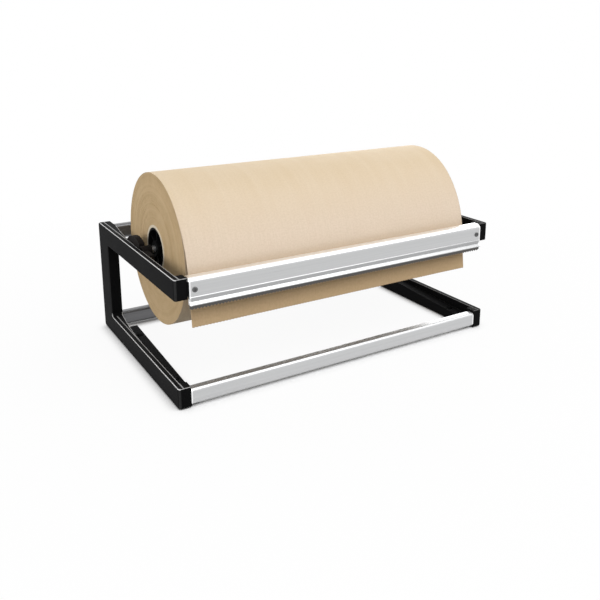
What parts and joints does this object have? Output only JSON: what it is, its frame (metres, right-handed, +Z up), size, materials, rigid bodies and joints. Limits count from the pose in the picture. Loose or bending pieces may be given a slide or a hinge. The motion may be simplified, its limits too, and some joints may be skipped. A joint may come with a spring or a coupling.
{
  "type": "paper roll dispenser",
  "caption": "Table-top dispenser for a roll of wrapping paper: two C-shaped side frames joined by rails, a tear bar across the front, and a roll that lifts out on its axle.",
  "frame": {"origin": "on the table, under the middle of the whole object", "axes": "+X from the left side frame to the right one along the roll, +Y to the back, +Z up; the tear bar faces -Y"},
  "size_m": [0.562, 0.3524, 0.301],
  "materials": {
    "frame_plastic": "satin black moulded plastic",
    "cradle_plastic": "satin black moulded plastic",
    "plug_plastic": "matt black moulded plastic",
    "block_plastic": "satin black plastic",
    "bar_aluminium": "natural anodised, fine lines along the bar",
    "rail_aluminium": "natural anodised, satin",
    "rear_rail_aluminium": "dark grey anodised, satin",
    "strip_steel": "darkened steel",
    "screw_steel": "zinc-plated",
    "axle_steel": "turned, bright",
    "foot_rubber": "matt black",
    "core_board": "spiral-wound board",
    "roll_paper": "brown kraft, faintly ribbed",
    "tail_paper": "brown kraft"
  },
  "bodies": {
    "stand": {"left_side_frame": "frame_plastic", "right_side_frame": "frame_plastic", "tear_bar": "bar_aluminium", "cutting_strip": "strip_steel", "lower_front_rail": "rail_aluminium", "lower_rear_rail": "rear_rail_aluminium", "upper_rear_rail": "rear_rail_aluminium", "tear_bar_screws": "screw_steel", "lower_rail_screws": "screw_steel", "upper_rail_screws": "screw_steel", "left_axle_cradle": "cradle_plastic", "right_axle_cradle": "cradle_plastic", "cradle_screws": "screw_steel", "front_left_foot": "foot_rubber", "front_right_foot": "foot_rubber", "rear_left_foot": "foot_rubber", "rear_right_foot": "foot_rubber"},
    "bearing_blocks": {"left_bearing_block": "block_plastic", "right_bearing_block": "block_plastic", "paper_tail": "tail_paper"},
    "roll_assembly": {"axle": "axle_steel", "left_core_plug": "plug_plastic", "right_core_plug": "plug_plastic", "plug_set_screws": "screw_steel", "paper_core": "core_board", "paper_roll": "roll_paper"}
  },
  "joints": [
    {"name": "axle_lift", "type": "slide", "parent": "stand", "child": "bearing_blocks", "axis": [0, 0, 1], "range_m": [0, 0.14]},
    {"name": "roll_spin", "type": "hinge", "parent": "bearing_blocks", "child": "roll_assembly", "pos_m": [0, -0.01675, 0.186], "axis": [1, 0, 0], "continuous": true}
  ]
}
